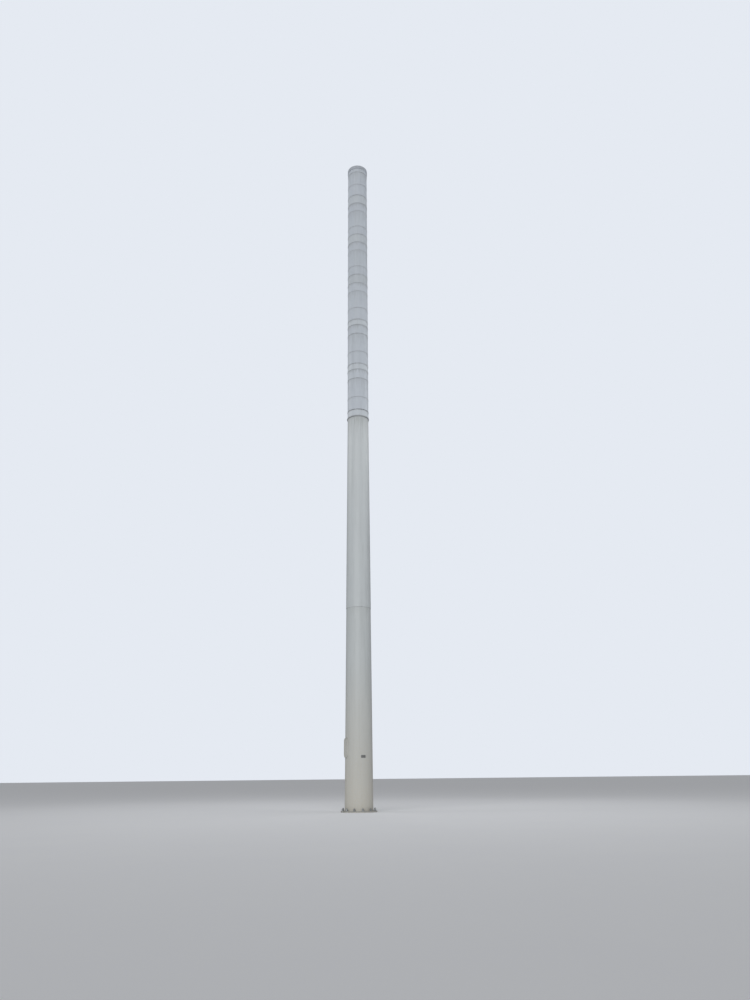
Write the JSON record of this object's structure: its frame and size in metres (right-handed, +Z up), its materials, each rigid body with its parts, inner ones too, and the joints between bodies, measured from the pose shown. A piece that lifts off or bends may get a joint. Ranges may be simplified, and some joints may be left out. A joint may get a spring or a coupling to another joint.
{
  "type": "monopole cell tower",
  "caption": "Tapered tubular steel pole with a slip joint and a bolted base plate, carrying stacked closed cylindrical antenna canisters banded by straps under a flat cap.",
  "frame": {"origin": "centre of the base plate's underside, where it rests on its foundation", "axes": "+Z up along the pole's axis, the front of the pole faces -Y, the entry port is on the left (-X) side, turned 25 degrees towards the front, and the straps close at the back (+Y)"},
  "size_m": [1.8012, 1.8008, 39.624],
  "materials": {
    "base_steel": "painted galvanized steel, weathered",
    "shaft_paint": "satin pale grey paint over galvanized steel",
    "flange_paint": "satin pale grey paint",
    "bulkhead_steel": "weathered grey galvanized steel rim",
    "collar_paint": "painted glass fibre, satin",
    "shroud_paint": "painted glass fibre, satin, slightly weathered",
    "strap_steel": "dull weathered steel band",
    "spine_steel": "hot-dip galvanized steel",
    "cap_paint": "grey painted glass fibre"
  },
  "bodies": {
    "root": {"base_plate": "base_steel", "lower_shaft": "shaft_paint", "upper_shaft": "shaft_paint", "entry_port_rim": "shaft_paint", "entry_port_cover": "shaft_paint", "shaft_flange": "flange_paint", "spine": "spine_steel", "top_cap": "cap_paint", "bulkhead_1": "bulkhead_steel", "bulkhead_2": "bulkhead_steel", "bulkhead_3": "bulkhead_steel", "bulkhead_4": "bulkhead_steel", "bulkhead_5": "bulkhead_steel", "bulkhead_6": "bulkhead_steel", "bulkhead_7": "bulkhead_steel", "collar_1": "collar_paint", "shroud_1_front": "shroud_paint", "shroud_1_back": "shroud_paint", "straps_1": "strap_steel", "collar_2": "collar_paint", "shroud_2_front": "shroud_paint", "shroud_2_back": "shroud_paint", "straps_2": "strap_steel", "collar_3": "collar_paint", "shroud_3_front": "shroud_paint", "shroud_3_back": "shroud_paint", "straps_3": "strap_steel", "collar_4": "collar_paint", "shroud_4_front": "shroud_paint", "shroud_4_back": "shroud_paint", "straps_4": "strap_steel", "collar_5": "collar_paint", "shroud_5_front": "shroud_paint", "shroud_5_back": "shroud_paint", "straps_5": "strap_steel", "collar_6": "collar_paint", "shroud_6_front": "shroud_paint", "shroud_6_back": "shroud_paint", "straps_6": "strap_steel"}
  },
  "joints": []
}
